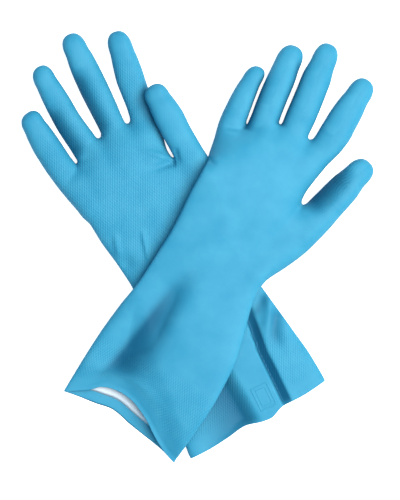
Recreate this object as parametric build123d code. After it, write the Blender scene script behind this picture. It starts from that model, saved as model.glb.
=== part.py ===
from build123d import *
import math
import os

# A pair of flock-lined household rubber gloves, size medium, laid crossed on a table.
# The right-hand glove lies palm up on the table. The left-hand glove lies back up across its gauntlet.
# Each glove is one dipped rubber skin with a cotton flock lining stuck to its inside. Both layers are
# divided where the glove bends, so that the wrist and each finger can turn on a hinge of their own.
#
# Row frame, in millimetres: +Z is up from the table at Z = 0, and the origin is under the pair's centre.
# Each glove also has a frame of its own: u runs across it towards the thumb, v from cuff to fingertips.

# Layers
RUBBER = 0.6            # thickness of the dipped rubber skin
GLUE = 0.08             # between the skin and the flock
FLOCK = 0.4             # thickness of the flock lining
LINING_OUT = RUBBER + GLUE
LINING_IN = LINING_OUT + FLOCK
EMBOSS = 0.35           # how far the plain frame stands up from the cuff

# Clearances and section shapes
GAP = 0.3               # between two parts that turn on each other
WRIST_V = 140.0         # distance from the cuff edge to the wrist
BODY_STEP = 12.0        # spacing of the lofted sections along a body
DIGIT_STEP = 8.0        # and along a digit
HALF_POINTS = 8         # spans in each half of a section
TOP_ROUNDNESS = 2.2     # superellipse exponents: a crowned top
BOTTOM_ROUNDNESS = 3.0  # and a flatter underside
DIGIT_ROUNDNESS = 2.15
TABLE_SINK = 1.2        # depth that a resting underside is cut back by, which makes it flat
LOOSE_SINK = 0.6        # the same for the upper glove, which the lower one props up
DRAPE_CLEARANCE = 1.0   # between the lower glove's top and the upper glove's underside
DRAPE_INSIDE = 4.0      # the drape starts to fall this far inside the lower glove's edge
DRAPE_OUTSIDE = 24.0    # and is on the table this far outside it
STUB_WAIST = 0.6        # a digit stub narrows to this part of its width inside the hand
BIG = 500.0

# Body stations from cuff to finger roots: v, centre u, half width, thickness
RIGHT_BODY = [
    (0, 0, 55, 15), (25, 0, 53, 15), (50, 0, 49.5, 13), (75, -0.5, 45, 11), (95, -0.8, 42, 10.5),
    (120, -0.5, 39.5, 11.5), (140, 0.5, 42, 14.5), (162, 0.5, 47, 18), (180, -3, 46.5, 21),
    (197, -12, 40, 22), (206, -10.5, 38, 21.5), (214, -5, 32.5, 20.5), (228, -4.5, 30.5, 18),
]
LEFT_BODY = [
    (0, 1, 46.5, 14), (25, 3, 47.5, 15), (50, 4.7, 47.5, 15), (75, 5.8, 46, 15), (98, 5.8, 42, 15),
    (120, 4, 38.5, 16), (140, 3.5, 37, 18), (158, 7.5, 41.5, 20), (176, 9, 44, 22),
    (200, 1.8, 36.5, 23), (214, 2.5, 35.5, 22.5), (224, 7.5, 30.5, 21), (241.5, 8.5, 31, 17.5),
]

# Digits: root and tip (u, v), widths at root, middle and where the tip starts to round, length of the
# rounded tip, height over width, sideways bow, underside height at root, middle and tip, and how far
# the stub reaches back into the hand.
RIGHT_DIGITS = {
    "little": ((-48.7, 221), (-53.2, 267.5), (19.6, 18.6, 16.4), 13, 0.88, -1.2, (-1, 0, 4), 24),
    "ring": ((-28.2, 234), (-32.8, 293.5), (19.0, 18.8, 16.6), 14, 0.88, -0.9, (-1, 0, 6), 26),
    "middle": ((-3.6, 235), (-2.6, 304.5), (18.4, 19.6, 17.2), 14, 0.88, -0.8, (-1, 0, 7), 28),
    "index": ((21.4, 250), (27.0, 291.5), (18.8, 19.2, 17.0), 13, 0.88, 0.2, (-1, 0, 5), 45),
    "thumb": ((36.6, 203), (34.8, 248.5), (20.0, 20.0, 16.8), 13, 0.78, 0.3, (8.2, 11.8, 12.3), 26),
}
LEFT_DIGITS = {
    "little": ((-32.7, 231), (-35.6, 271.5), (17.6, 16.6, 14.0), 12, 0.90, -0.4, (1, 1, 0), 22),
    "ring": ((-14.6, 246), (-18.6, 297), (18.8, 19.6, 17.4), 14, 0.88, 0.4, (1, 2, 0), 28),
    "middle": ((8.7, 249), (2.4, 311), (19.6, 20.2, 17.4), 15, 0.86, 0.5, (1, 2, 0), 28),
    "index": ((34.0, 250), (36.3, 300.5), (20.4, 20.6, 17.6), 14, 0.86, 0.6, (1, 2, 0), 30),
    "thumb": ((52.6, 202), (66.0, 249.5), (23.0, 22.0, 18.6), 14, 0.86, 0.4, (0, -1, -1), 40),
}

# The left glove's mouth, whose top edge has slipped back from the bottom edge: centre u, half width
# and depth of the two scoops.
TOP_SCOOP = (-7, 32, 19.5)
BOTTOM_SCOOP = (-8, 34, 7)
SCOOP_FLOOR = 7.0       # the top scoop cuts only above this height
FLOCK_BACK = 8.0        # bare rubber inside the cuff, where the flock stops short of the edge

# The plain moulded frame on the right glove's cuff: centre (u, v), outer width and length, and line width
CUFF_FRAME = (10.5, 13.0, 13.0, 18.0, 1.2)

# Gloves: cuff centre in the row frame, heading clockwise from +Y, sink of the underside, tables above
RIGHT = {
    "name": "right", "cuff": (42.9, -123.8), "heading": -25.6, "sink": TABLE_SINK, "hinge_gap": 0.0,
    "body": RIGHT_BODY, "digits": RIGHT_DIGITS,
}
LEFT = {
    "name": "left", "cuff": (-56.5, -128.1), "heading": 28.9, "sink": LOOSE_SINK, "hinge_gap": GAP,
    "body": LEFT_BODY, "digits": LEFT_DIGITS,
}


def to_row(glove, u, v):
    """The row-frame X and Y of a point in a glove's own frame."""
    a = math.radians(glove["heading"])
    x0, y0 = glove["cuff"]
    return x0 + u * math.cos(a) + v * math.sin(a), y0 - u * math.sin(a) + v * math.cos(a)


def to_glove(glove, x, y):
    """The u and v in a glove's own frame of a row-frame point."""
    a = math.radians(glove["heading"])
    dx, dy = x - glove["cuff"][0], y - glove["cuff"][1]
    return dx * math.cos(a) - dy * math.sin(a), dx * math.sin(a) + dy * math.cos(a)


def smooth(t):
    """An ease from 0 to 1."""
    t = min(max(t, 0.0), 1.0)
    return t * t * (3 - 2 * t)


def slope(table, k, column):
    """Slope of a station table's column at its row k, flat where the column turns back."""
    before, here, after = table[max(k - 1, 0)], table[k], table[min(k + 1, len(table) - 1)]
    if (here[column] - before[column]) * (after[column] - here[column]) <= 0:
        return 0.0
    return (after[column] - before[column]) / (after[0] - before[0])


def station(glove, v):
    """Centre, half width and thickness of a glove's body at v, on a smooth curve through its stations."""
    table = glove["body"]
    v = min(max(v, table[0][0]), table[-1][0])
    k = next(i for i in range(len(table) - 1) if v <= table[i + 1][0])
    low, high = table[k], table[k + 1]
    span = high[0] - low[0]
    t = (v - low[0]) / span
    values = []
    for column in (1, 2, 3):
        leave = slope(table, k, column) * span * t * (1 - t) ** 2
        arrive = slope(table, k + 1, column) * span * t * t * (1 - t)
        values.append(low[column] + (high[column] - low[column]) * smooth(t) + leave - arrive)
    return values


def underside(glove, u, v):
    """Height of a glove's underside. The upper glove's drapes over the lower one."""
    if glove is RIGHT:
        return -glove["sink"]
    u_low, v_low = to_glove(RIGHT, *to_row(glove, u, v))
    centre, half, thick = station(RIGHT, v_low)
    outside = abs(u_low - centre) - half
    cover = 1 - smooth((outside + DRAPE_INSIDE) / (DRAPE_INSIDE + DRAPE_OUTSIDE))
    cover *= 1 - smooth((v_low - 190) / 30)
    return (thick - TABLE_SINK + DRAPE_CLEARANCE + glove["sink"]) * cover - glove["sink"]


def superellipse(angle, roundness):
    """A point on a unit superellipse."""
    c, s = math.cos(angle), math.sin(angle)
    power = 2 / roundness
    return math.copysign(abs(c) ** power, c), math.copysign(abs(s) ** power, s)


def closed_section(point):
    """A closed outline through point(angle): one edge over the top and one under the bottom."""
    steps = [k / HALF_POINTS for k in range(HALF_POINTS + 1)]
    top = [Vector(*point(math.pi * t)) for t in steps]
    bottom = [Vector(*point(math.pi * (1 + t))) for t in steps]
    bottom[0], bottom[-1] = top[-1], top[0]
    return Wire([Edge.make_spline(half, parameters=steps) for half in (top, bottom)])


def body_section(glove, v, inset, along=0.0):
    """The outline of the body at v, drawn in by inset, and moved along the glove."""
    centre, half, thick = station(glove, v)

    def point(angle):
        across, up = superellipse(angle, TOP_ROUNDNESS if math.sin(angle) > 0 else BOTTOM_ROUNDNESS)
        u = centre + (half - inset) * across
        z = underside(glove, u, v) + thick / 2 + (thick / 2 - inset) * up
        return (*to_row(glove, u, v + along), z)

    return closed_section(point)


def body_loft(glove, inset, mouth=0.0):
    """The body as one solid, drawn in by inset, and run out past the cuff by mouth."""
    last = glove["body"][-1][0] - inset
    count = round(last / BODY_STEP)
    wires = [body_section(glove, last * k / count, inset) for k in range(count + 1)]
    if mouth > 0:
        wires.insert(0, body_section(glove, 0, inset, along=-mouth))
    return Solid.make_loft(wires, ruled=True)


def digit_frame(glove, digit):
    """Root, unit direction and length of a digit in the row frame."""
    root, tip = glove["digits"][digit][:2]
    x0, y0 = to_row(glove, *root)
    x1, y1 = to_row(glove, *tip)
    length = math.hypot(x1 - x0, y1 - y0)
    return (x0, y0), ((x1 - x0) / length, (y1 - y0) / length), length


def digit_section(glove, digit, s, inset, shrink=1.0):
    """The outline of a digit s beyond its root, drawn in by inset and shrunk about its middle."""
    _, _, widths, rounding, ratio, bow, lifts, _ = glove["digits"][digit]
    (x0, y0), (dx, dy), length = digit_frame(glove, digit)
    t = min(max(s / length, 0), 1)
    middle = (length - rounding) / length / 2
    if t < middle:
        width = widths[0] + (widths[1] - widths[0]) * smooth(t / middle)
    else:
        width = widths[1] + (widths[2] - widths[1]) * min((t - middle) / middle, 1)
    low = lifts[0] + (lifts[1] - lifts[0]) * smooth(2 * t) + (lifts[2] - lifts[1]) * smooth(2 * t - 1)
    side = bow * 4 * t * (1 - t)

    def point(angle):
        across, up = superellipse(angle, DIGIT_ROUNDNESS)
        w = side + (width / 2 - inset) * shrink * across
        z = low + width * ratio / 2 + (width * ratio / 2 - inset) * shrink * up
        return x0 + dx * s + dy * w, y0 + dy * s - dx * w, z

    return closed_section(point)


def stub_loft(glove, digit, inset):
    """The start of a digit, from inside the hand to its root. A drawn-in stub runs a little past it."""
    reach = glove["digits"][digit][7]
    last = 2 if inset > 0 else 0
    sections = [digit_section(glove, digit, -reach, inset, STUB_WAIST)]
    sections += [digit_section(glove, digit, s, inset) for s in (-reach / 2, last)]
    return Solid.make_loft(sections, ruled=True)


def digit_loft(glove, digit, inset, first):
    """A digit as one solid from first to its rounded tip, drawn in by inset."""
    rounding = glove["digits"][digit][3]
    straight = digit_frame(glove, digit)[2] - rounding
    count = round(straight / DIGIT_STEP)
    stations = [first] + [straight * k / count for k in range(1, count)]
    sections = [digit_section(glove, digit, s, inset) for s in stations]
    for angle in (0, 18, 36, 54, 70, 82):
        a = math.radians(angle)
        s = straight + (rounding - inset) * math.sin(a)
        sections.append(digit_section(glove, digit, s, inset, math.cos(a)))
    return Solid.make_loft(sections, ruled=True)


def above(height):
    """Everything above a height."""
    half_space = Box(2 * BIG, 2 * BIG, BIG, align=(Align.CENTER, Align.CENTER, Align.MIN))
    return half_space.moved(Location((0, 0, height)))


def beyond(glove, v, way):
    """Everything beyond v along a glove (way 1) or before it (way -1)."""
    half_space = Box(2 * BIG, BIG, 2 * BIG, align=(Align.CENTER, Align.MIN, Align.CENTER))
    turn = -glove["heading"] + (180 if way < 0 else 0)
    return half_space.moved(Location((*to_row(glove, 0, v), 0), (0, 0, turn)))


def root_slab(glove, digit):
    """A thin slab just beyond a digit's root, which trims a stub's lining flush with its rubber."""
    (x0, y0), (dx, dy), _ = digit_frame(glove, digit)
    slab = Box(40, 6, 60, align=(Align.CENTER, Align.MIN, Align.CENTER))
    return slab.moved(Location((x0, y0, 0), (0, 0, math.degrees(math.atan2(dy, dx)) - 90)))


def scoop(glove, shape, grow, floor):
    """An elliptical bite out of the cuff edge, grown all round, above a floor height."""
    centre, half, depth = shape
    bite = extrude(Ellipse(half + grow, depth + grow), BIG)
    return bite.moved(Location((*to_row(glove, centre, 0), floor), (0, 0, -glove["heading"])))


def filled(glove, inset):
    """The body with its digit stubs, filled, drawn in by inset."""
    solid = body_loft(glove, inset, mouth=3 if inset > 0 else 0) & above(inset)
    for digit in glove["digits"]:
        solid = solid + (stub_loft(glove, digit, inset) & above(inset))
    return solid


def digit_layer(glove, digit, outer, inner):
    """One layer of a digit's finger stall, between two insets, open at its root."""
    full = digit_loft(glove, digit, outer, GAP) & above(outer)
    return full - (digit_loft(glove, digit, inner, -1) & above(inner))


def cuff_frame():
    """The plain frame that stands up from the right glove's cuff."""
    u, v, width, length, line = CUFF_FRAME
    ring = Rectangle(width, length) - Rectangle(width - 2 * line, length - 2 * line)
    prism = extrude(ring, BIG).moved(Location((*to_row(RIGHT, u, v), 4), (0, 0, -RIGHT["heading"])))
    return (body_loft(RIGHT, -EMBOSS) - body_loft(RIGHT, 0.1, mouth=3)) & prism


def glove_parts(glove):
    """Every node of one glove, by name."""
    name = glove["name"]
    skin = filled(glove, 0) - filled(glove, RUBBER)
    lining = filled(glove, LINING_OUT) - filled(glove, LINING_IN)
    for digit in glove["digits"]:
        lining = lining - root_slab(glove, digit)
    lining = lining & beyond(glove, FLOCK_BACK, 1)
    if glove is RIGHT:
        skin = skin + cuff_frame()
    else:
        skin = skin - scoop(glove, TOP_SCOOP, 0, SCOOP_FLOOR) - scoop(glove, BOTTOM_SCOOP, 0, -1)
        lining = lining - scoop(glove, TOP_SCOOP, FLOCK_BACK, SCOOP_FLOOR)
        lining = lining - scoop(glove, BOTTOM_SCOOP, FLOCK_BACK, -1)
    parts = {}
    for suffix, layer in (("", skin), ("_lining", lining)):
        parts[f"{name}_gauntlet{suffix}"] = layer & beyond(glove, WRIST_V, -1)
        parts[f"{name}_hand{suffix}"] = layer & beyond(glove, WRIST_V + glove["hinge_gap"], 1)
    for digit in glove["digits"]:
        parts[f"{name}_{digit}"] = digit_layer(glove, digit, 0, RUBBER)
        parts[f"{name}_{digit}_lining"] = digit_layer(glove, digit, LINING_OUT, LINING_IN)
    return parts


os.makedirs("parts", exist_ok=True)
for glove in (RIGHT, LEFT):
    for name, shape in glove_parts(glove).items():
        export_step(shape, f"parts/{name}.step")
        print(name, len(shape.solids()), round(shape.volume, 1), "valid" if shape.is_valid else "NOT VALID")
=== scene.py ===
import math

import bpy
import numpy as np
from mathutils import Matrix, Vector
from mathutils.bvhtree import BVHTree


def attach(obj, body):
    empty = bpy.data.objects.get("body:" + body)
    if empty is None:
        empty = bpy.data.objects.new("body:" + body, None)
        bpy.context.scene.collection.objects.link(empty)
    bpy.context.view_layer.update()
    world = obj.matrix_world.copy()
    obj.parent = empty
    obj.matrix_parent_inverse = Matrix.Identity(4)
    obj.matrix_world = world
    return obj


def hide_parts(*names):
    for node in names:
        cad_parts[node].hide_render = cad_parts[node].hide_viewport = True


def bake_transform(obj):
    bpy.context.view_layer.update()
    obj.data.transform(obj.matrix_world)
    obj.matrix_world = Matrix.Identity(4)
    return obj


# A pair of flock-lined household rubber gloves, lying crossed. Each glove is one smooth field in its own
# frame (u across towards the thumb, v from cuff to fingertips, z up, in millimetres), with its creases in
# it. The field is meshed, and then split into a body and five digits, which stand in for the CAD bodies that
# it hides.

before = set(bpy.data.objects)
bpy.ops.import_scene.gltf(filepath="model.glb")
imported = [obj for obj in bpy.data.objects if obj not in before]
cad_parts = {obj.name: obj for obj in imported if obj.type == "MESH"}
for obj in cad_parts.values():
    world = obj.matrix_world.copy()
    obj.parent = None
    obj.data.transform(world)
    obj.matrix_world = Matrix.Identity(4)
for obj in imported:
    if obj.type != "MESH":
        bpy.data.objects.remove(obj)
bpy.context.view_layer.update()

# Layers, mm
STEP = 1.0       # mesh spacing
SKIN = 0.7                # thickness of the rubber
FLOCK = 0.5               # thickness of the flock, with its pile
BARE = 7.0                # bare rubber inside the cuff, where the flock stops short of the edge
STRIP = 15.0              # how far the inner face of the rubber is modelled, under the flock
RUBBER_LIP = 0.3          # how far the rubber's edge bulges out at the cuff
FLOCK_LIP = 0.4           # the same for the flock's front edge
FLOCK_BED = 0.05          # how far that edge is set into the rubber
SLIP_REACH = 45.0         # the cuff's uneven edge dies out this far up the gauntlet

# How the gloves lie, mm
TABLE_SINK = 1.2          # the lower glove is flattened by this much where it lies on the table
LOOSE_SINK = 0.6          # the same for the upper glove
TABLE_ROUNDING = 2.0      # how softly the flattened underside meets the sides
DRAPE_CLEARANCE = 1.0     # gap between the gloves where they cross
DRAPE_INSIDE = 4.0        # the upper glove starts down this far inside the lower one's edge
DRAPE_OUTSIDE = 24.0      # and is down on the table this far outside it
DRAPE_SOFTEN = 56.0       # its top face takes the drape up over this much more, each side
DRAPE_SPREAD = 0.3        # share of that which rounds it off over the lower glove's middle
DRAPE_END = 190.0         # v of the lower glove where the drape starts to end
DRAPE_FADE = 30.0         # and over how much it ends
THINNEST = 0.5            # share of its thickness that the upper glove keeps wherever it drapes
THINNEST_BLEND = 8.0      # how softly it comes to that

# Cross-sections: 2 is an ellipse, and more is squarer
TOP_ROUNDNESS = 2.6
BOTTOM_ROUNDNESS = 3.0
DIGIT_ROUNDNESS = 2.4
END_ROUNDNESS = 2.2
DIGIT_EXTRA = 0.35        # added to each digit's half width, mm
DIGIT_ROOT = 8.0          # how far a digit's root goes on into the hand, mm

# How widely a digit blends with what is beside it, mm: apart, past the web, and how much more at its root
BLEND_APART = 0.6
BLEND_ROOT = 6.0
WEB_EARLY = 2.0           # the blend starts to narrow this far before the web
WEB_REACH = 12.0          # and is narrow after this much
WEB_ACROSS = 12.0         # it goes from the left web's to the right web's over this width of the digit

# How the creases fade, and how the painted shade in them darkens the rubber
FOLD_FOOT = 3.0           # folds start this far above the underside, mm
FOLD_RISE = 5.0           # and are whole this much higher, mm
STEP_FLAT = 0.04          # share of a step's reach over which it keeps its whole height
SHADE_PAINT_SHALLOW = 2.0        # a valley of this depth gets no painted shade, mm
SHADE_PAINT_DEEP = 6.0           # and one of this depth gets the darkest painted shade, mm
SHADE_PAINT_LEFT = 0.3           # width of the painted shade on a valley's left flank, as a share of the flank's width
SHADE_PAINT_RIGHT = 1.1          # and on its right
SHADE_PAINT_EDGE = 0.03          # how softly the painted shade past a step ends, for each mm of the step's reach
SHADE_FADE = 2.0          # a painted shade ends over this height above its ceiling, mm

# Where faces belong to a digit, and where they bend
DIGIT_MISS = 0.4          # how far off a digit's surface its faces may be, as a share of its size
PATTERN_MISS = 0.3        # the same for the digit's own pattern
BEND_START = 1.6          # a digit starts to bend this far past its cut, mm
WRIST_V = 140.0           # the wrist's hinge
WRIST_BEND = 18.0         # its bend is spread over this much each side of the hinge, mm

# The moulded grip, mm and degrees
GRIP_PITCH = 1.65         # spacing of its lines
GRIP_ANGLE = 26.0         # their turn from the glove's length
GRIP_START = 118.0        # v where the palm's grip starts
GRIP_FADE = 14.0          # and over how much
CUFF_GRIP_END = 46.0      # v where the cuff's band of grip ends
CUFF_GRIP_FADE = 9.0      # and over how much
CUFF_SMOOTH = (-1.0, 20.0)    # u of both sides of the smooth panel in that band, beside the pleat
TIP_FADE = 0.8            # how much of the grip is lost at the fingertips
TIP_START = 0.35          # share of a digit's length before that starts, and over which it happens
WRAP_REACH = 15.0         # the flat coordinates come to wrap round a digit over this much past its cut

# Colours and light
RUBBER_DEEP = (0.018, 0.245, 0.40, 1)
RUBBER_PALE = (0.070, 0.345, 0.485, 1)
# Painted shade: the colour the rubber goes to in its creases and where shade falls
RUBBER_PAINTED_SHADE = (0.001, 0.075, 0.16, 1)
PAINTED_SHADE_STRENGTH = 0.85        # how far the painted shade takes the rubber towards that colour, where it is strongest
FLOCK_DEEP = (0.62, 0.68, 0.72, 1)
FLOCK_PALE = (0.88, 0.90, 0.92, 1)
FLOOR_WHITE = (0.93, 0.93, 0.93, 1)
FLOOR_GLOW = 0.85
SKY = (0.16, 0.62, 1.0, 1)
SKY_STRENGTH = 0.42

# Camera, m
CAMERA_OFFSET = (0.0017, -0.0038)
CAMERA_HEIGHT = 3.0
SEEN_LENGTH = 0.355       # length of floor along the picture's longer side
SENSOR = 36

# Each glove: where its own frame starts, in the middle of its cuff, and how far it is turned (degrees),
# where the hand rounds off and over how much, and the extent of its grid.
# Body: v, left edge, right edge, thickness. Digits, in the order of the hand: where the web beside it is,
# where it parts from the body, how far past that its bend ends, its tip, and its path as centre u, v,
# half width, centre height, half height. Where early or reach is given, it stands for WEB_EARLY or
# WEB_REACH.
RIGHT = {
    "name": "right", "cuff": (42.9, -123.8), "heading": -25.6, "end": (212, 14),
    "extent": ((-66, 60), (0, 308), (-2.5, 31)),
    "body": [
        (0, -55.5, 55, 15), (25, -53, 53, 14.5), (50, -50, 49, 13), (75, -45.5, 44.5, 11),
        (95, -42.5, 41.2, 10.5), (120, -40, 39.2, 12), (140, -42.3, 42.5, 15), (162, -46.2, 47, 18.5),
        (176, -47.6, 43, 21), (190, -49.5, 27, 22), (203, -49, 23, 21.5), (214, -42, 23.4, 20),
        (226, -38, 24.4, 18),
    ],
    "digits": {
        "little": {
            "web": 213, "early": 7, "cut": 216, "bend": 18, "tip": (-53.5, 266.4, 11.0),
            "path": [(-43, 188, 6.5, 9, 8), (-45.3, 200, 8.8, 8.4, 8.6), (-47.6, 214, 9.8, 7.6, 8.6),
                     (-49.7, 225, 9.7, 7.6, 8.5), (-51.4, 238, 9.6, 7.9, 8.4), (-52.6, 250, 8.7, 9.2, 7.9),
                     (-53.2, 257, 7.8, 10.1, 7.3)],
        },
        "ring": {
            "web": 227, "cut": 230, "bend": 17, "tip": (-32.5, 292.3, 13.2),
            "path": [(-25, 203, 6.5, 9, 8), (-26, 216, 9.3, 8, 8.4), (-27.4, 230, 9.7, 7.4, 8.4),
                     (-29, 240, 9.5, 7.5, 8.4), (-30.4, 250, 9.2, 8, 8.3), (-31.1, 262, 8.9, 9, 8.2),
                     (-31.7, 272, 8.3, 10.6, 7.8), (-32.2, 281, 7.5, 12.2, 7.2)],
        },
        "middle": {
            "web": 228, "cut": 231, "bend": 17, "tip": (-3.1, 303.6, 14.6),
            "path": [(-4, 200, 6.5, 9, 8), (-3.8, 216, 9, 8, 8.4), (-3.6, 232, 9, 7.2, 8.2),
                     (-3.5, 248, 9.5, 7.9, 8.5), (-3.6, 262, 9.8, 9, 8.7), (-3.5, 274, 9.6, 10.6, 8.4),
                     (-3.3, 284, 8.9, 12.3, 8), (-3.2, 291, 8.1, 13.4, 7.5)],
        },
        "index": {
            "web": 227, "cut": 247, "bend": 15, "tip": (27.4, 291.3, 12.6),
            "path": [(13, 196, 6.5, 9, 8), (16.2, 212, 9, 7.6, 7.6), (19, 226, 9.2, 6.8, 7.2),
                     (20.6, 236, 9.2, 6.6, 7.2), (21.6, 247, 9.4, 7.2, 7.8), (22.7, 257, 9.7, 8.6, 8.4),
                     (24.4, 268, 9.1, 10.3, 8.3), (25.8, 278, 8.2, 11.8, 7.6)],
        },
        "thumb": {
            "web": 190, "early": 0, "reach": 6, "cut": 200, "bend": 16, "tip": (33.7, 245.6, 19.2),
            "path": [(40, 160, 6, 9, 8), (39, 176, 9.6, 10.5, 8), (37, 192, 10, 13.6, 8),
                     (36.0, 206, 9.9, 16.8, 7.8), (35.6, 219, 10.1, 19, 7.8), (34.9, 229, 9.2, 19.4, 7.6),
                     (34.4, 235.5, 8.4, 19.2, 7.2)],
        },
    },
}
LEFT = {
    "name": "left", "cuff": (-56.5, -128.1), "heading": 28.9, "end": (226, 14),
    "extent": ((-51, 78), (0, 315), (-2.5, 40)),
    "body": [
        (0, -45.5, 47.5, 5), (12, -45, 49, 9.5), (25, -44.5, 50.5, 14), (50, -43, 52.3, 16.5),
        (75, -40, 51.8, 16.5), (98, -36, 47.6, 15.4), (120, -34.5, 42.2, 15), (140, -33.4, 40.2, 15.8),
        (156, -33.9, 43.5, 18), (170, -34.7, 46, 20.3), (184, -34.7, 43.4, 22.5), (200, -34.9, 37.2, 23),
        (214, -33, 35.4, 22.5), (226, -24, 36, 21), (240, -22, 36, 18),
    ],
    "digits": {
        "little": {
            "web": 223, "cut": 226, "bend": 18, "tip": (-34.7, 271, 6.6),
            "path": [(-27.5, 196, 6, 10, 8), (-29.6, 210, 8, 9.6, 8), (-31.8, 224, 9.2, 9, 8.1),
                     (-33.5, 234, 8.5, 8.8, 7.9), (-34.4, 243, 8.0, 8.5, 7.7), (-35, 252, 7.3, 7.9, 7.2),
                     (-35.1, 261, 6.5, 7.1, 6.5)],
        },
        "ring": {
            "web": 239, "cut": 242, "bend": 17, "tip": (-19.4, 296.2, 7.6),
            "path": [(-11.5, 208, 6.5, 10, 8), (-12.4, 224, 9.2, 9.6, 8.5), (-13.4, 238, 9.7, 9.4, 8.5),
                     (-15.1, 250, 9.7, 10, 8.8), (-16.3, 260, 9.7, 10.4, 9), (-17.3, 271, 9.5, 9.8, 8.8),
                     (-18.7, 283, 8.8, 8.2, 8)],
        },
        "middle": {
            "web": 241.5, "cut": 245, "bend": 17, "tip": (1.6, 309.3, 7.8),
            "path": [(10.5, 212, 6.5, 10, 8), (9.8, 228, 9.3, 9.8, 8.5), (8.7, 244, 9.9, 9.5, 8.5),
                     (7.6, 256, 10.3, 10.4, 8.9), (6.1, 270, 10.2, 10.6, 8.8), (4.6, 282, 10.1, 9.6, 8.7),
                     (3.1, 296, 8.5, 7.9, 7.8)],
        },
        "index": {
            "web": 242.5, "cut": 246, "bend": 17, "tip": (37.2, 299.8, 7.6),
            "path": [(27, 208, 6.5, 10, 8), (28.4, 220, 8.6, 9.8, 8.5), (31.2, 234, 9.4, 9.6, 8.6),
                     (34.1, 248, 10.4, 9.8, 8.9), (34.9, 257, 10.9, 10.4, 9.1), (35, 266, 10.6, 10.3, 9),
                     (35.5, 276, 9.9, 9.4, 8.4), (36.1, 287, 8.5, 7.9, 7.7)],
        },
        "thumb": {
            "web": 197, "cut": 205, "bend": 16, "tip": (66.2, 249.2, 8.0),
            "path": [(35, 142, 6, 12, 7), (41.5, 160, 9.6, 11, 8.4), (47, 178, 11.6, 10.4, 9.4),
                     (51.8, 196, 11.8, 9.8, 9.8), (55.3, 210, 11.3, 9.4, 9.6), (59, 224, 10.8, 8.9, 9.2),
                     (62.4, 237, 9.0, 8.4, 8.4)],
        },
    },
}


def ease(t):
    """A smooth rise from 0 to 1, as t goes from 0 to 1."""
    t = np.clip(t, 0.0, 1.0)
    return t * t * (3 - 2 * t)


def curve(xs, ys, x):
    """A smooth curve through (xs, ys) that does not overshoot, at x."""
    xs, ys = np.asarray(xs, float), np.asarray(ys, float)
    x = np.clip(x, xs[0], xs[-1])
    slope = np.diff(ys) / np.diff(xs)
    before, after = slope[:-1], slope[1:]
    both = np.where(before + after == 0, 1, before + after)
    m = np.zeros_like(ys)
    m[1:-1] = np.where(before * after > 0, 2 * before * after / both, 0)
    m[0], m[-1] = slope[0], slope[-1]
    k = np.clip(np.searchsorted(xs, x, side="right") - 1, 0, len(xs) - 2)
    h = xs[k + 1] - xs[k]
    t = (x - xs[k]) / h
    return (ys[k] * (1 + 2 * t) * (1 - t) ** 2 + ys[k + 1] * t * t * (3 - 2 * t)
            + h * m[k] * t * (1 - t) ** 2 - h * m[k + 1] * t * t * (1 - t))


def column(table, k):
    """One column of a table of rows."""
    return [row[k] for row in table]


def to_shared(glove, u, v):
    """A glove's u and v as x and y in the shared frame, in mm."""
    a = math.radians(glove["heading"])
    x0, y0 = glove["cuff"]
    return x0 + u * math.cos(a) + v * math.sin(a), y0 - u * math.sin(a) + v * math.cos(a)


def to_glove(glove, x, y):
    """x and y in the shared frame as a glove's u and v, in mm."""
    a = math.radians(glove["heading"])
    dx, dy = x - glove["cuff"][0], y - glove["cuff"][1]
    return dx * math.cos(a) - dy * math.sin(a), dx * math.sin(a) + dy * math.cos(a)


def body_at(glove, v):
    """Centre, half width and thickness of a glove's body at v."""
    table = glove["body"]
    vs = column(table, 0)
    left, right, thick = (curve(vs, column(table, k), v) for k in (1, 2, 3))
    return (left + right) / 2, (right - left) / 2, thick


def underside(glove, u, v, soften=0.0):
    """Height of a glove's underside. The upper glove's drapes over the lower one, over more with soften."""
    if glove is RIGHT:
        return np.full(np.broadcast(u, v).shape, -TABLE_SINK)
    u_low, v_low = to_glove(RIGHT, *to_shared(glove, u, v))
    centre, half, thick = body_at(RIGHT, v_low)
    outside = np.hypot(u_low - centre, DRAPE_SPREAD * soften) - half
    reach = DRAPE_INSIDE + DRAPE_OUTSIDE + 2 * soften
    cover = 1 - ease((outside + DRAPE_INSIDE + soften) / reach)
    cover = cover * (1 - ease((v_low - DRAPE_END) / DRAPE_FADE))
    return (thick - TABLE_SINK + DRAPE_CLEARANCE + LOOSE_SINK) * cover - LOOSE_SINK


def along_line(u, v, points):
    """Distance from a polyline, signed to its right, and how far along its chord, from 0 to 1."""
    points = np.asarray(points, float)
    lengths = np.hypot(*np.diff(points, axis=0).T)
    best = np.full(np.broadcast(u, v).shape, np.inf)
    side = np.zeros_like(best)
    for (a, b), length in zip(zip(points, points[1:]), lengths):
        du, dv = (b - a) / length
        s = (u - a[0]) * du + (v - a[1]) * dv
        w = (u - a[0]) * dv - (v - a[1]) * du
        dist = np.hypot(w, s - np.clip(s, 0, length))
        near = dist < best
        best = np.where(near, dist, best)
        side = np.where(near, np.sign(w) * dist, side)
    chord = points[-1] - points[0]
    where = ((u - points[0][0]) * chord[0] + (v - points[0][1]) * chord[1]) / (chord @ chord)
    return side, np.clip(where, 0, 1)


def fading(where, start, end):
    """1 along a line, easing to 0 over a share of it at its start and at its end."""
    rise = ease(where / start) if start > 0 else 1.0
    fall = ease((1 - where) / end) if end > 0 else 1.0
    return rise * fall


def flank(side, where, left, right):
    """Width of the flank that a point is on. The right one may be several widths, spread along the line."""
    right = np.atleast_1d(right)
    return np.where(side < 0, left, np.interp(where, np.linspace(0, 1, len(right)), right))


def past_step(side, width, reach):
    """How far past a step's slope a point is, as a share of the step's reach."""
    return np.maximum(side - width / 2, 0) / reach


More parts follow.
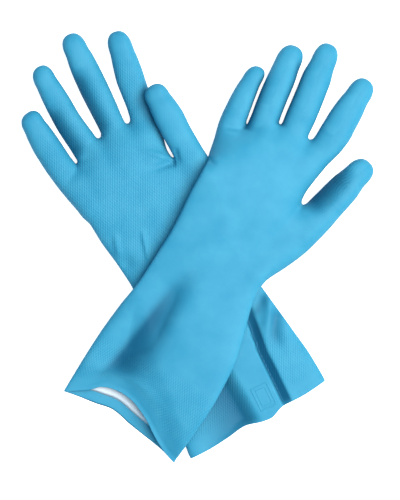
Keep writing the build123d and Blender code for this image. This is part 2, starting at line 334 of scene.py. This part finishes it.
def relief(glove, u, v):
    """Height that folds, steps, dents and waves add to a glove's top, in mm."""
    out = np.zeros(np.broadcast(u, v).shape)
    for points, height, left, right, start, end in glove["folds"]:
        side, where = along_line(u, v, points)
        width = flank(side, where, left, right)
        out += height * fading(where, start, end) * np.exp(-(side / width) ** 2)
    for points, height, width, reach, start, end in glove["steps"]:
        side, where = along_line(u, v, points)
        fall = np.clip(1 + STEP_FLAT - past_step(side, width, reach), 0, 1)
        out += height * fading(where, start, end) * ease(side / width + 0.5) * fall
    for u0, v0, across, along, height in glove["dents"]:
        out += height * np.exp(-((u - u0) / across) ** 2 - ((v - v0) / along) ** 2)
    for length, heading, phase, height in WAVES:
        a = math.radians(heading)
        out += height * np.sin((u * math.cos(a) + v * math.sin(a)) * 2 * math.pi / length + phase)
    return out


def painted_shade_of(glove, u, v, z):
    """How much painted shade darkens the rubber, from 0 to 1: in valleys, on the low side of steps, and
    along the painted shades, where shade falls.
    """
    out = np.zeros(np.broadcast(u, v).shape)
    for points, height, left, right, start, end in glove["folds"]:
        side, where = along_line(u, v, points)
        width = flank(side, where, left, right) * np.where(side < 0, SHADE_PAINT_LEFT, SHADE_PAINT_RIGHT)
        deep = ease((-height - SHADE_PAINT_SHALLOW) / (SHADE_PAINT_DEEP - SHADE_PAINT_SHALLOW))
        out = np.maximum(out, deep * fading(where, start, end) * np.exp(-(side / width) ** 2))
    for points, _, width, reach, start, end in glove["steps"]:
        side, where = along_line(u, v, points)
        fall = ease((1 - past_step(side, width, reach)) / (SHADE_PAINT_EDGE * reach))
        out = np.maximum(out, fading(where, start, end) * ease(side / width + 0.5) * fall)
    for points, tone, left, right, start, end, ceiling in glove["shades"]:
        side, where = along_line(u, v, points)
        width = flank(side, where, left, right)
        shade = tone * fading(where, start, end) * np.exp(-(side / width) ** 2)
        out = np.maximum(out, shade * ease((ceiling + SHADE_FADE - z) / SHADE_FADE))
    return out


# Slow waves that keep the rubber from looking machined: length, heading, phase and height
WAVES = [(61, 20, 0.3, 0.22), (43, -55, 1.9, 0.2), (29, 70, 4.0, 0.12), (21, -15, 2.2, 0.07)]

# Folds: points, height (below 0 is a valley), width of the left flank, width or widths of the right one, and
# the shares of the line over which it starts and ends. Steps: points, height on the right, width of the
# slope, how far the height lasts, and the same shares. Folds and steps also get painted shade on their low
# side. Painted shades, where shade falls and the rubber is only painted darker: points, strength, widths,
# shares and the height that they reach up to. Dents: centre, half sizes across and along, and height.
RIGHT["folds"] = [
    ([(49, 80), (41.5, 68), (35.5, 58), (31.2, 50), (30, 40)], 3.6, 3.6, 4.6, 0.15, 0.5),
    ([(51.5, 66), (47.6, 53.5), (43, 42), (39, 33)], 3.4, 4.6, 6.5, 0.3, 0.6),
    ([(28, 190), (24.1, 192.4), (18.5, 197.5), (11.9, 203.2), (1.2, 209.5)], 1.4, 1.6, 2.6, 0.1, 0.6),
    ([(27, 188.5), (22, 190.5), (12.7, 191.5), (2.1, 194)], -2.8, 2.6, 3.4, 0.1, 0.7),
    ([(30.5, 200), (28.6, 191.8), (28.4, 184.5)], -1.6, 1.6, 2.2, 0.3, 0.6),
    ([(-15.5, 159), (-19.6, 142.4), (-22.6, 129)], 1.6, 2.2, 1.5, 0.35, 0.35),
    ([(-34, 165), (-37.2, 153.2), (-39.5, 144)], 1.3, 2.5, 2.0, 0.4, 0.3),
    ([(-34.5, 220), (-37.5, 238), (-39.5, 250), (-40.4, 266)], -4.5, 3.0, 6.5, 0.2, 0.3),
    ([(-12.2, 226), (-13, 248), (-13.4, 262), (-13, 282)], -4.5, 3.0, 6.5, 0.2, 0.25),
]
RIGHT["steps"] = [
    ([(20.7, -6), (20.6, 15), (20.7, 28), (20.3, 40.6), (21.5, 53), (22.7, 64.7), (24.5, 80), (27, 104)],
     -5.0, 0.3, 7.0, 0.1, 0.4),
    ([(-8.5, 66), (-7, 44), (-6, 32), (-4.6, 17.5), (-2.4, -6)], -6.5, 13.0, 40.0, 0.35, 0.16),
]
# Painted shades: the index's right flank in the thumb's shadow, and the shaded left flanks of two ridges on
# the cuff
RIGHT["shades"] = [
    ([(27, 254), (26, 236), (25.5, 216), (25, 199)], 0.8, 6.5, 7.0, 0.3, 0.1, 13.0),
    ([(46, 79), (35, 71), (24, 65)], 0.55, 3.6, 3.6, 0.3, 0.4, 40.0),
    ([(47, 69), (43, 61), (36.5, 49), (33.5, 38)], 0.55, 4.0, 4.2, 0.3, 0.4, 40.0),
]
RIGHT["dents"] = [(-36, 139.5, 5.5, 5.0, -2.4), (38, 71, 4.0, 8.0, -1.0), (36, 46, 3.5, 10.0, -1.0)]
LEFT["folds"] = [
    ([(-27.5, 4), (-25, 19), (-21.5, 42), (-18.2, 62), (-14.6, 84), (-11.2, 104), (-6.5, 120), (0, 134)],
     -10.5, 14.0, (9, 13, 15.5, 13, 10, 8, 7), 0.3, 0.5),
    ([(39, 196), (44.6, 213), (48.5, 227), (53.5, 242)], -7.0, 5.0, 9.0, 0.25, 0.35),
    ([(-37.5, 197), (-31.5, 195.1), (-26, 194.6)], -2.0, 1.8, 1.8, 0.0, 0.6),
    ([(-37.5, 218.2), (-29.4, 220.4), (-23, 222.4)], 0.5, 1.3, 1.6, 0.2, 0.4),
    ([(-37, 222.5), (-29.5, 224), (-23.6, 226)], -0.6, 2.0, 2.0, 0.3, 0.1),
    ([(40, 201.5), (37.6, 197), (36.1, 189), (35.1, 181.6)], -0.9, 2.2, 2.2, 0.1, 0.7),
    ([(9, 172), (0, 152), (-9, 133), (-15, 112)], 1.2, 9.0, 8.0, 0.4, 0.4),
]
LEFT["steps"] = []
# Painted shades: the right flanks of the ring and little fingers, in the shadow of the finger beside each
LEFT["shades"] = [
    ([(-12.5, 292), (-7.8, 275.5), (-6, 260), (-3.1, 240)], 0.9, 4.4, 2.4, 0.2, 0.05, 30.0),
    ([(-29, 270), (-27, 256.5), (-24.5, 242), (-22, 226)], 0.9, 4.2, 2.4, 0.2, 0.05, 30.0),
]
LEFT["dents"] = [(-33, 191.5, 3.5, 3.0, -0.9), (-36, 4, 12, 20, -2.5)]

# The cuff's edge, as v against u, of the top and the bottom layer
RIGHT["top_edge"] = [(-56, -4.4), (-39.6, -3.8), (-25, -2.2), (-10.2, 0.1), (2.2, -2.2), (8.1, -2.7),
                     (20.7, 1.5), (34, 1.8), (55, 4.4)]
RIGHT["bottom_edge"] = [(-56, -4.0), (-39.6, -2.4), (-10.1, 1.8), (4.5, 0.6), (21.6, 3.0), (55, 4.8)]
LEFT["top_edge"] = [(-45.5, 2.6), (-35.6, 8.7), (-28.5, 13.7), (-24.2, 18), (-17.3, 20.8), (-9.4, 21.8),
                    (-0.8, 20.8), (9.2, 17), (18, 12.2), (22.9, 8.7), (32.6, 2.6), (43.3, -2.1), (47, -3.3)]
LEFT["bottom_edge"] = [(-45.5, 2.4), (-33.2, 4.4), (-21.8, 5.8), (-9.2, 7.9), (7.1, 4.7), (25, 1.6),
                       (39.2, -1.9), (47, -3.5)]


def tame(field):
    """A field turned into a distance near its surface."""
    gu, gv, gz = np.gradient(field, STEP)
    return field / np.maximum(np.sqrt(gu * gu + gv * gv + gz * gz), 0.02)


def soft_min(a, b, k):
    """The smaller of a and b, rounded off where they are less than k apart."""
    h = np.maximum(k - np.abs(a - b), 0) / k
    return np.minimum(a, b) - h * h * k / 4


def soft_max(a, b, k):
    """The larger of a and b, rounded off where they are less than k apart."""
    return -soft_min(-a, -b, k)


def body_field(glove, u, v, z):
    """Distance from the surface of a glove's body, below 0 inside it."""
    vv = np.maximum(v, 3 * STEP)
    centre, half, thick = body_at(glove, vv)
    low = underside(glove, u, vv)
    draped = thick + underside(glove, u, vv, DRAPE_SOFTEN) - low
    thick = soft_max(draped, THINNEST * thick, THINNEST_BLEND)
    x = np.abs(u - centre) / half
    y = (z - low - thick / 2) / (thick / 2)
    start, rounding = glove["end"]
    e = (np.maximum(v - start, 0) / rounding) ** END_ROUNDNESS

    def level(n):
        return (x ** n + np.abs(y) ** n + e) ** (1 / n)

    return tame(np.where(y > 0, level(TOP_ROUNDNESS), level(BOTTOM_ROUNDNESS)) - 1)


def digit_line(digit):
    """A digit's chord: its start, its unit direction, and its stations. A station is how far along the
    chord it is, its offset to the right, and the half width, centre height and half height there."""
    path, tip = digit["path"], digit["tip"]
    a = np.array(path[0][:2], float)
    d = np.array(tip[:2], float) - a
    length = np.hypot(*d)
    d /= length
    rows = []
    for u, v, half, z, tall in path:
        p = np.array((u, v)) - a
        rows.append((p @ d, p[0] * d[1] - p[1] * d[0], half, z, tall))
    rows.append((length, 0.0, rows[-1][2], tip[2], rows[-1][4]))
    return a, d, rows


def digit_coordinates(digit, u, v):
    """How far along a digit, and how far across it from its centreline."""
    a, d, rows = digit_line(digit)
    s = (u - a[0]) * d[0] + (v - a[1]) * d[1]
    w = (u - a[0]) * d[1] - (v - a[1]) * d[0]
    return s, w - curve(column(rows, 0), column(rows, 1), s)


def digit_station(digit, v):
    """How far along a digit its chord reaches v."""
    a, d, _ = digit_line(digit)
    return (v - a[1]) / d[1]


def digit_place(digit, u, v, z):
    """Where points are on a digit: its level, which is 1 on its surface, how far past its cut they are,
    how far off its centreline as shares of its half width and height, and its half width."""
    _, _, rows = digit_line(digit)
    s, w = digit_coordinates(digit, u, v)
    ss = column(rows, 0)
    half, mid, tall = (curve(ss, column(rows, k), s) for k in (2, 3, 4))
    half = half + DIGIT_EXTRA
    e = np.maximum(s - ss[-2], 0) / (ss[-1] - ss[-2]) + np.maximum(-s, 0) / DIGIT_ROOT
    n = DIGIT_ROUNDNESS
    x, y = w / half, (z - mid) / tall
    level = (np.abs(x) ** n + np.abs(y) ** n + e ** n) ** (1 / n)
    return level, s - digit_station(digit, digit["cut"]), (x, y), half


def digit_field(digit, u, v, z):
    """Distance from the surface of a digit, below 0 inside it."""
    return tame(digit_place(digit, u, v, z)[0] - 1)


def unfolded(glove, u, v, z):
    """The height that a point would have without the folds. They die out near the underside."""
    return z - relief(glove, u, v) * ease((z - underside(glove, u, v) - FOLD_FOOT) / FOLD_RISE)


def web_blend(digit, gap, s):
    """How widely a digit blends with what is beside it, at s along it, when the gap's web is there."""
    past = s - digit_station(digit, gap["web"]) + gap.get("early", WEB_EARLY)
    return BLEND_APART + BLEND_ROOT * (1 - ease(past / gap.get("reach", WEB_REACH)))


def glove_field(glove):
    """The glove's distance field on a grid: values, and where its first value is. The grid starts half a
    step before the cuff, so that the cuff is left open."""
    axes = []
    for (low, high), shift in zip(glove["extent"], (0, -STEP / 2, 0)):
        start = low + shift
        axes.append(start + STEP * np.arange(int((high - start) / STEP) + 2))
    u, v, z = np.meshgrid(*axes, indexing="ij")
    z = unfolded(glove, u[:, :, :1], v[:, :, :1], z)
    total = body_field(glove, u, v, z)
    little, ring, middle, index, thumb = glove["digits"].values()
    left_webs = ((little, little), (ring, little), (middle, ring), (index, middle), (thumb, thumb))
    for digit, left_web in left_webs:
        s, w = digit_coordinates(digit, u, v)
        left, right = web_blend(digit, left_web, s), web_blend(digit, digit, s)
        k = left + (right - left) * ease(w / WEB_ACROSS + 0.5)
        total = soft_min(total, digit_field(digit, u, v, z), k)
    table = -(axes[2] + 0 * z)
    return soft_max(total, table, TABLE_ROUNDING), np.array([axis[0] for axis in axes])


def sample(values, origin, points):
    """Values of a grid field at points, interpolated."""
    g = (points - origin) / STEP
    g = np.clip(g, 0, np.array(values.shape) - 1.001)
    i = g.astype(int)
    f = g - i
    out = 0
    for a in (0, 1):
        for b in (0, 1):
            for c in (0, 1):
                weight = (np.abs(1 - a - f[:, 0]) * np.abs(1 - b - f[:, 1]) * np.abs(1 - c - f[:, 2]))
                out = out + weight * values[i[:, 0] + a, i[:, 1] + b, i[:, 2] + c]
    return out


def surface(values, origin):
    """A quad mesh of the field's zero surface, open where it meets the grid's side, and each point's row
    of the grid, counted from the cuff."""
    shape = np.array(values.shape) - 1
    count = int(np.prod(shape))
    total, hits, quads = np.zeros((count, 3)), np.zeros(count), []
    for axis in range(3):
        a = np.take(values, range(values.shape[axis] - 1), axis)
        b = np.take(values, range(1, values.shape[axis]), axis)
        edge = np.argwhere((a < 0) != (b < 0))
        va, vb = a[tuple(edge.T)], b[tuple(edge.T)]
        point = edge.astype(float)
        point[:, axis] += va / (va - vb)
        p, q = [k for k in range(3) if k != axis]
        corners = []
        for dp, dq in ((0, 0), (-1, 0), (-1, -1), (0, -1)):
            cell = edge.copy()
            cell[:, p] += dp
            cell[:, q] += dq
            good = ((cell >= 0) & (cell < shape)).all(1)
            flat = cell[:, 0] * shape[1] * shape[2] + cell[:, 1] * shape[2] + cell[:, 2]
            for k in range(3):
                total[:, k] += np.bincount(flat[good], point[good, k], count)
            hits += np.bincount(flat[good], minlength=count)
            corners.append(np.where(good, flat, -1))
        quad = np.stack(corners, 1)
        flip = (va < 0) if axis != 1 else (va >= 0)
        quad[~flip] = quad[~flip][:, ::-1]
        quads.append(quad[(quad >= 0).all(1)])
    quads = np.concatenate(quads)
    used = np.unique(quads)
    index = np.full(count, -1)
    index[used] = np.arange(len(used))
    points = origin + STEP * total[used] / hits[used][:, None]
    return points, index[quads], used // shape[2] % shape[1]


def quad_edges(quads):
    """Every quad's four directed edges, side by side."""
    return np.concatenate([quads[:, [k, (k + 1) % 4]] for k in range(4)])


def relax(points, quads, values, origin, fixed, rounds=3, share=0.6):
    """Evens out the mesh and keeps it on the surface. Fixed points move in their own row only."""
    edges = quad_edges(quads)
    number = np.bincount(edges[:, 0], minlength=len(points))
    slopes = np.gradient(values, STEP)
    for _ in range(rounds):
        mean = np.stack([np.bincount(edges[:, 0], points[edges[:, 1], k], len(points)) for k in range(3)], 1)
        mean /= np.maximum(number, 1)[:, None]
        points = np.where(fixed[:, None], points, points + share * (mean - points))
        for _ in range(2):
            d = sample(values, origin, points)
            n = np.stack([sample(g, origin, points) for g in slopes], 1)
            size = np.maximum(np.linalg.norm(n, axis=1), 0.2)
            move = -(d / size ** 2)[:, None] * n
            move[fixed, 1] = 0
            points = points + np.clip(move, -STEP, STEP)
    n = np.stack([sample(g, origin, points) for g in slopes], 1)
    return points, n / np.maximum(np.linalg.norm(n, axis=1), 1e-6)[:, None]


def skin_of(glove):
    """The outer face of a glove: points, quads, normals and each point's row from the cuff."""
    values, origin = glove_field(glove)
    points, quads, row = surface(values, origin)
    edge = row == 0
    points[edge, 1] = 0
    points, normals = relax(points, quads, values, origin, edge)
    return points, quads, normals, row


def owners(glove, middles):
    """Which digit each face belongs to, or -1 for the body."""
    owner, best = np.full(len(middles), -1), np.full(len(middles), DIGIT_MISS)
    u, v, z = middles.T
    z = unfolded(glove, u, v, z)
    for k, digit in enumerate(glove["digits"].values()):
        level, beyond, _, _ = digit_place(digit, u, v, z)
        miss = np.abs(level - 1)
        mine = (beyond > 0) & (miss < best)
        owner[mine], best[mine] = k, miss[mine]
    return owner


def pattern(glove, points, normals):
    """What the rubber's material needs at each point: flat coordinates in mm, how strong the moulded grip
    is, and how much painted shade darkens it in its creases and where shade falls."""
    u, v, z = points.T
    up = normals[:, 2]
    flat_z = unfolded(glove, u, v, z)
    palm = 1 if glove is RIGHT else -1
    across = u.copy()
    grip = ease((palm * up - 0.05) / 0.35) * ease((v - GRIP_START) / GRIP_FADE)
    for name, digit in glove["digits"].items():
        level, beyond, (x, y), half = digit_place(digit, u, v, flat_z)
        _, d, rows = digit_line(digit)
        close = np.abs(level - 1) < PATTERN_MISS
        mine = close & (beyond > 0)

        # Flat coordinates go round a digit instead of across it
        wrapped = u - x * half + half * np.arctan2(x, palm * y)
        across += ease(beyond / WRAP_REACH) * mine * (wrapped - u)
        length = rows[-1][0] - digit_station(digit, digit["cut"])
        grip *= 1 - mine * TIP_FADE * ease((beyond / length - TIP_START) / TIP_START)

        # A thumb's grip is on the side that meets the fingers
        if name == "thumb":
            inner = -d[1] * normals[:, 0] + d[0] * normals[:, 1]
            side = ease((0.9 * inner + 0.25 * up - 0.3) / 0.3)
            wanted = side if glove is LEFT else 0.25 * grip
            grip += close * ease((beyond + 12) / 12) * (wanted - grip)

    end = 1 - ease((v - CUFF_GRIP_END) / CUFF_GRIP_FADE)
    band = ease((v - BARE - 1) / 4) * end * ease((np.abs(up) - 0.1) / 0.3)
    if glove is RIGHT:
        first, last = CUFF_SMOOTH
        band *= 1 - ease((u - first) / 3) * (1 - ease((u - last) / 1.5)) * (up > 0)
    # Painted shade in the creases and where shade falls, only on faces that look up
    painted_shade_share = painted_shade_of(glove, u, v, z) * ease(up / 0.3 + 0.3)
    return np.stack([across, v, np.maximum(grip, band), painted_shade_share], 1)


def slip(glove, points):
    """Moves points near the cuff so that the edge of each layer follows its own line."""
    u, v, z = points.T
    _, _, thick = body_at(glove, 0.0)
    low = underside(glove, u, np.zeros_like(u))
    share = ease(1.6 * (z - low) / thick - 0.3)
    bottom, top = (curve(column(glove[k], 0), column(glove[k], 1), u) for k in ("bottom_edge", "top_edge"))
    moved = points.copy()
    moved[:, 1] += (bottom + (top - bottom) * share) * (1 - ease(v / SLIP_REACH))
    return moved


def rim_edges(quads, at_edge):
    """The directed edges that run along an open rim."""
    count = at_edge.size
    edges = quad_edges(quads)
    keys = edges[:, 0] * count + edges[:, 1]
    back = edges[:, 1] * count + edges[:, 0]
    return edges[~np.isin(back, keys) & at_edge[edges].all(1)]


def layer(skin, depth, start_row, lip=0.0):
    """The skin's points at a depth, with the layer's first row set straight and moved out by lip."""
    points, _, normals, row = skin
    moved = points - depth * normals
    first = row == start_row
    moved[first, 1] = start_row * STEP - lip
    return moved


def placed(glove, points):
    """Points in the shared frame, in metres."""
    x, y = to_shared(glove, points[:, 0], points[:, 1])
    return np.stack([x, y, points[:, 2]], 1) / 1000


def turned(glove, normals):
    """Normals in the shared frame."""
    a = math.radians(glove["heading"])
    x = normals[:, 0] * math.cos(a) + normals[:, 1] * math.sin(a)
    y = -normals[:, 0] * math.sin(a) + normals[:, 1] * math.cos(a)
    return np.stack([x, y, normals[:, 2]], 1)


def link_object(name, data):
    """A new object in the scene."""
    obj = bpy.data.objects.new(name, data)
    bpy.context.scene.collection.objects.link(obj)
    return obj


def mesh_piece(name, glove, points, normals, quads, marks, material):
    """A mesh object in the shared frame, with the pattern's values on its points."""
    used, index = np.unique(quads, return_inverse=True)
    index = index.reshape(quads.shape)
    mesh = bpy.data.meshes.new(name)
    mesh.from_pydata(placed(glove, slip(glove, points[used])).tolist(), [], index.tolist())
    mesh.shade_smooth()
    mesh.normals_split_custom_set_from_vertices(turned(glove, normals[used]).tolist())
    mesh.attributes.new("glove", "FLOAT_VECTOR", "POINT").data.foreach_set("vector", marks[used, :3].ravel())
    # The painted shade in creases and on shadowed flanks, for the material
    mesh.attributes.new("painted_shade", "FLOAT", "POINT").data.foreach_set("value", marks[used, 3])
    mesh.materials.append(material)
    return link_object(name, mesh)


def rubber_and_flock(skin, marks, owner):
    """Each section's rubber and flock as points, normals, quads and marks."""
    points, quads, normals, row = skin
    count = len(points)
    bare, strip = round(BARE / STEP), round(STRIP / STEP)
    down = np.tile((0.0, -1.0, 0.0), (count, 1))

    # Rubber: the outer face, the lip, and a strip of the inner face
    rubber_points = np.concatenate([points, layer(skin, SKIN / 2, 0, RUBBER_LIP), layer(skin, SKIN, 0)])
    rubber_normals = np.concatenate([normals, down, -normals])
    a, b = rim_edges(quads, row == 0).T
    lip = np.stack([b, a, a + count, b + count], 1)
    inner = quads[(row[quads] <= strip).all(1)][:, ::-1] + 2 * count
    extra = np.concatenate([lip, lip + count, inner])

    # Flock: its own face, further in, and its front edge
    face = layer(skin, SKIN + FLOCK, bare)
    flock_points = np.concatenate([face, layer(skin, SKIN - FLOCK_BED, bare, FLOCK_LIP)])
    flock_normals = np.concatenate([-normals, down])
    lined = (row[quads] >= bare).all(1)
    a, b = rim_edges(quads[lined], row == bare).T
    front = np.stack([a, b, b + count, a + count], 1)

    sections = {}
    for k in range(-1, owner.max() + 1):
        mine = quads[owner == k]
        soft = quads[lined & (owner == k)][:, ::-1]
        if k == -1:
            mine, soft = np.concatenate([mine, extra]), np.concatenate([soft, front])
        sections[k] = ((rubber_points, rubber_normals, mine, np.tile(marks, (3, 1))),
                       (flock_points, flock_normals, soft, np.tile(marks, (2, 1))))
    return sections


def digit_point(glove, digit, beyond):
    """A point on a digit's centreline in metres, this far past its cut."""
    a, d, rows = digit_line(digit)
    s = digit_station(digit, digit["cut"]) + beyond
    x, y = to_shared(glove, *(a + d * s))
    return x / 1000, y / 1000, float(curve(column(rows, 0), column(rows, 3), s)) / 1000


def body_point(glove, v):
    """A point in the middle of a glove's body in metres."""
    centre, _, thick = body_at(glove, v)
    x, y = to_shared(glove, centre, v)
    return x / 1000, y / 1000, float(underside(glove, centre, v) + thick / 2) / 1000


def dress(glove):
    """Makes a glove's pieces and hides the CAD parts they stand in for. Only the right glove's body is tied
    to a body; where the digits and the left wrist would bend is worked out but not used.
    """
    name = glove["name"]
    skin = skin_of(glove)
    points, quads, normals, _ = skin
    marks = pattern(glove, points, normals)
    owner = owners(glove, points[quads].mean(1))
    for k, layers in rubber_and_flock(skin, marks, owner).items():
        digit = list(glove["digits"])[k] if k >= 0 else ""
        part = f"{name}_{digit}" if digit else f"{name}_body"
        for kind, (at, facing, faces, at_marks) in zip(("rubber", "flock"), layers):
            obj = mesh_piece(f"{part}_{kind}", glove, at, facing, faces, at_marks, MATERIALS[kind])
            ending = "" if kind == "rubber" else "_lining"
            if digit:
                shape = glove["digits"][digit]
                start = digit_point(glove, shape, BEND_START)
                end = digit_point(glove, shape, shape["bend"])
                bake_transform(obj)
                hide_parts(part + ending)
            else:
                if glove is RIGHT:
                    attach(obj, "right_glove")
                else:
                    start = body_point(glove, WRIST_V - WRIST_BEND)
                    end = body_point(glove, WRIST_V + WRIST_BEND)
                    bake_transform(obj)
                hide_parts(f"{name}_gauntlet{ending}", f"{name}_hand{ending}")


def raised_frame(glove, rubber, centre, width, length, line, height):
    """A plain rectangular frame moulded on the cuff, laid on the rubber. Sizes are in mm."""
    tree = BVHTree.FromObject(rubber, bpy.context.evaluated_depsgraph_get())
    above = 0.06              # the rays start this far above the table, m
    corners = [(-1, -1), (1, -1), (1, 1), (-1, 1)]
    per_side = 16
    # Across the line and up, as shares of its width and height
    profile = ((-0.5, -0.2), (-0.28, 1), (0.28, 1), (0.5, -0.2))
    verts, faces = [], []
    for (ax, ay), (bx, by) in zip(corners, corners[1:] + corners[:1]):
        for k in range(per_side):
            t = k / per_side
            for out, up in profile:
                u = centre[0] + (ax + (bx - ax) * t) * (width / 2 - line / 2 + out * line)
                v = centre[1] + (ay + (by - ay) * t) * (length / 2 - line / 2 + out * line)
                x, y = to_shared(glove, u, v)
                hit = tree.ray_cast(Vector((x / 1000, y / 1000, above)), Vector((0, 0, -1)))[0]
                verts.append((hit.x, hit.y, hit.z + up * height / 1000))
    loops = len(corners) * per_side
    n = len(profile)
    for k in range(loops):
        for j in range(n - 1):
            a, b = n * k + j, n * ((k + 1) % loops) + j
            faces.append((a, a + 1, b + 1, b))
    mesh = bpy.data.meshes.new("cuff_frame")
    mesh.from_pydata(verts, [], faces)
    mesh.shade_smooth()
    mesh.attributes.new("glove", "FLOAT_VECTOR", "POINT")
    mesh.materials.append(MATERIALS["rubber"])
    obj = link_object("cuff_frame", mesh)
    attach(obj, "right_glove")


def new_material(name):
    """A node material, its tree and its shader."""
    material = bpy.data.materials.new(name)
    material.use_nodes = True
    return material, material.node_tree, material.node_tree.nodes["Principled BSDF"]


def feed(tree, node, settings):
    """Sets a node's inputs, each to a value or to another node's output."""
    for name, value in settings.items():
        if isinstance(value, bpy.types.NodeSocket):
            tree.links.new(value, node.inputs[name])
        else:
            node.inputs[name].default_value = value


def math_node(tree, operation, *values):
    """A Math node fed with numbers or outputs."""
    node = tree.nodes.new("ShaderNodeMath")
    node.operation = operation
    feed(tree, node, dict(enumerate(values)))
    return node.outputs[0]


def attribute(tree, name, output):
    """One output of a mesh attribute."""
    node = tree.nodes.new("ShaderNodeAttribute")
    node.attribute_name = name
    return node.outputs[output]


def noise(tree, vector, scale, detail=2.0):
    """A noise texture's value."""
    node = tree.nodes.new("ShaderNodeTexNoise")
    feed(tree, node, {"Vector": vector, "Scale": scale, "Detail": detail})
    return node.outputs["Fac"]


def mix_colours(tree, share, first, second):
    """A colour between two. The Mix node's colours are its inputs 6 and 7 and its output 2."""
    node = tree.nodes.new("ShaderNodeMix")
    node.data_type = "RGBA"
    feed(tree, node, {"Factor": share, 6: first, 7: second})
    return node.outputs[2]


def bump(tree, height, strength, distance):
    """A normal that makes a height seem raised."""
    node = tree.nodes.new("ShaderNodeBump")
    feed(tree, node, {"Strength": strength, "Distance": distance, "Height": height})
    return node.outputs["Normal"]


def rubber_material():
    """Dipped nitrile: satin cyan, faintly mottled, with the moulded diamond grip, and painted shade in its
    creases.
    """
    material, tree, shader = new_material("rubber")
    place = attribute(tree, "glove", "Vector")
    split = tree.nodes.new("ShaderNodeSeparateXYZ")
    tree.links.new(place, split.inputs[0])
    across, along, grip = split.outputs
    turn = math.radians(GRIP_ANGLE)
    lines = []
    for sign, weight in ((-1, 1.0), (1, 0.6)):      # the lines one way are fainter
        a = math_node(tree, "MULTIPLY", across, math.cos(turn) * 2 * math.pi / GRIP_PITCH)
        b = math_node(tree, "MULTIPLY", along, sign * math.sin(turn) * 2 * math.pi / GRIP_PITCH)
        wave = math_node(tree, "SINE", math_node(tree, "ADD", a, b))
        lines.append(math_node(tree, "MULTIPLY", wave, 0.5 * weight))
    lattice = math_node(tree, "MULTIPLY", math_node(tree, "ADD", *lines), grip)

    mottle = noise(tree, place, 0.055, 3.0)
    pores = noise(tree, place, 2.6)
    tone = math_node(tree, "MULTIPLY_ADD", lattice, 0.32, mottle)
    tone = math_node(tree, "MULTIPLY_ADD", pores, 0.12, math_node(tree, "SUBTRACT", tone, 0.06))
    colour = mix_colours(tree, tone, RUBBER_DEEP, RUBBER_PALE)
    # Painted shade: the rubber goes to its darkest blue in its creases and where shade falls
    depth = math_node(tree, "MULTIPLY", attribute(tree, "painted_shade", "Fac"), PAINTED_SHADE_STRENGTH)
    height = math_node(tree, "ADD", lattice, math_node(tree, "MULTIPLY", pores, 0.12))
    feed(tree, shader, {
        "Base Color": mix_colours(tree, depth, colour, RUBBER_PAINTED_SHADE),
        "Roughness": math_node(tree, "MULTIPLY_ADD", mottle, 0.16, 0.46),
        "Specular IOR Level": 0.26,
        "IOR": 1.38,
        "Subsurface Weight": 0.12,
        "Subsurface Radius": (0.3, 0.8, 1.0),
        "Subsurface Scale": 0.0016,
        "Normal": bump(tree, height, 0.55, 0.00022),
    })
    return material


def flock_material():
    """Cotton flock: white, matte and fuzzy."""
    material, tree, shader = new_material("flock")
    place = attribute(tree, "glove", "Vector")
    fuzz = noise(tree, place, 3.0, 4.0)
    patches = noise(tree, place, 0.25)
    tone = math_node(tree, "MULTIPLY_ADD", fuzz, 0.6, math_node(tree, "MULTIPLY", patches, 0.4))
    feed(tree, shader, {
        "Base Color": mix_colours(tree, tone, FLOCK_DEEP, FLOCK_PALE),
        "Roughness": 0.95,
        "Specular IOR Level": 0.1,
        "Sheen Weight": 0.3,
        "Normal": bump(tree, fuzz, 0.7, 0.0003),
    })
    return material


def floor_material():
    """A white floor that also glows to the camera, and only to the camera, so that it washes out."""
    material, tree, shader = new_material("floor_white")
    feed(tree, shader, {"Base Color": FLOOR_WHITE, "Roughness": 0.8})
    glow = tree.nodes.new("ShaderNodeEmission")
    feed(tree, glow, {"Strength": FLOOR_GLOW})
    both = tree.nodes.new("ShaderNodeAddShader")
    feed(tree, both, {0: shader.outputs[0], 1: glow.outputs[0]})
    seen = tree.nodes.new("ShaderNodeLightPath")
    mix = tree.nodes.new("ShaderNodeMixShader")
    feed(tree, mix, {0: seen.outputs["Is Camera Ray"], 1: shader.outputs[0], 2: both.outputs[0]})
    tree.links.new(mix.outputs[0], tree.nodes["Material Output"].inputs["Surface"])
    return material


def set_camera():
    """Looks straight down, from far enough to see the gloves almost without perspective."""
    data = bpy.data.cameras.new("camera")
    data.sensor_width = SENSOR
    data.lens = SENSOR * CAMERA_HEIGHT / SEEN_LENGTH
    data.clip_end = 20
    camera = link_object("camera", data)
    camera.location = (*CAMERA_OFFSET, CAMERA_HEIGHT)
    bpy.context.scene.camera = camera


def lay_floor(half=3):
    """The white floor, this many metres each way."""
    corners = [(-half, -half, 0), (half, -half, 0), (half, half, 0), (-half, half, 0)]
    mesh = bpy.data.meshes.new("floor")
    mesh.from_pydata(corners, [], [(0, 1, 2, 3)])
    mesh.materials.append(floor_material())
    floor = link_object("floor", mesh)


def light_sky():
    """A soft blue light from all round, which fills the shadows."""
    world = bpy.data.worlds.new("world")
    bpy.context.scene.world = world
    world.use_nodes = True
    background = world.node_tree.nodes["Background"]
    feed(world.node_tree, background, {"Color": SKY, "Strength": SKY_STRENGTH})


def area_light(name, position, target, size, power, colour):
    """A square lamp aimed at a point."""
    data = bpy.data.lights.new(name, "AREA")
    data.size, data.energy, data.color = size, power, colour
    light = link_object(name, data)
    light.location = position
    light.rotation_euler = (Vector(target) - Vector(position)).to_track_quat("-Z", "Y").to_euler()


MATERIALS = {"rubber": rubber_material(), "flock": flock_material()}
set_camera()
for glove in (RIGHT, LEFT):
    dress(glove)
for width, length, line, height in ((13.0, 18.0, 1.2, 0.35), (8.0, 13.0, 0.9, 0.25)):
    raised_frame(RIGHT, bpy.data.objects["right_body_rubber"], (10.5, 13.0), width, length, line, height)

lay_floor()
bpy.context.scene.view_settings.view_transform = "Standard"
light_sky()
area_light("key", (0.8, 0.05, 1.66), (0, 0, 0), 1.9, 68, (1.0, 0.97, 0.93))
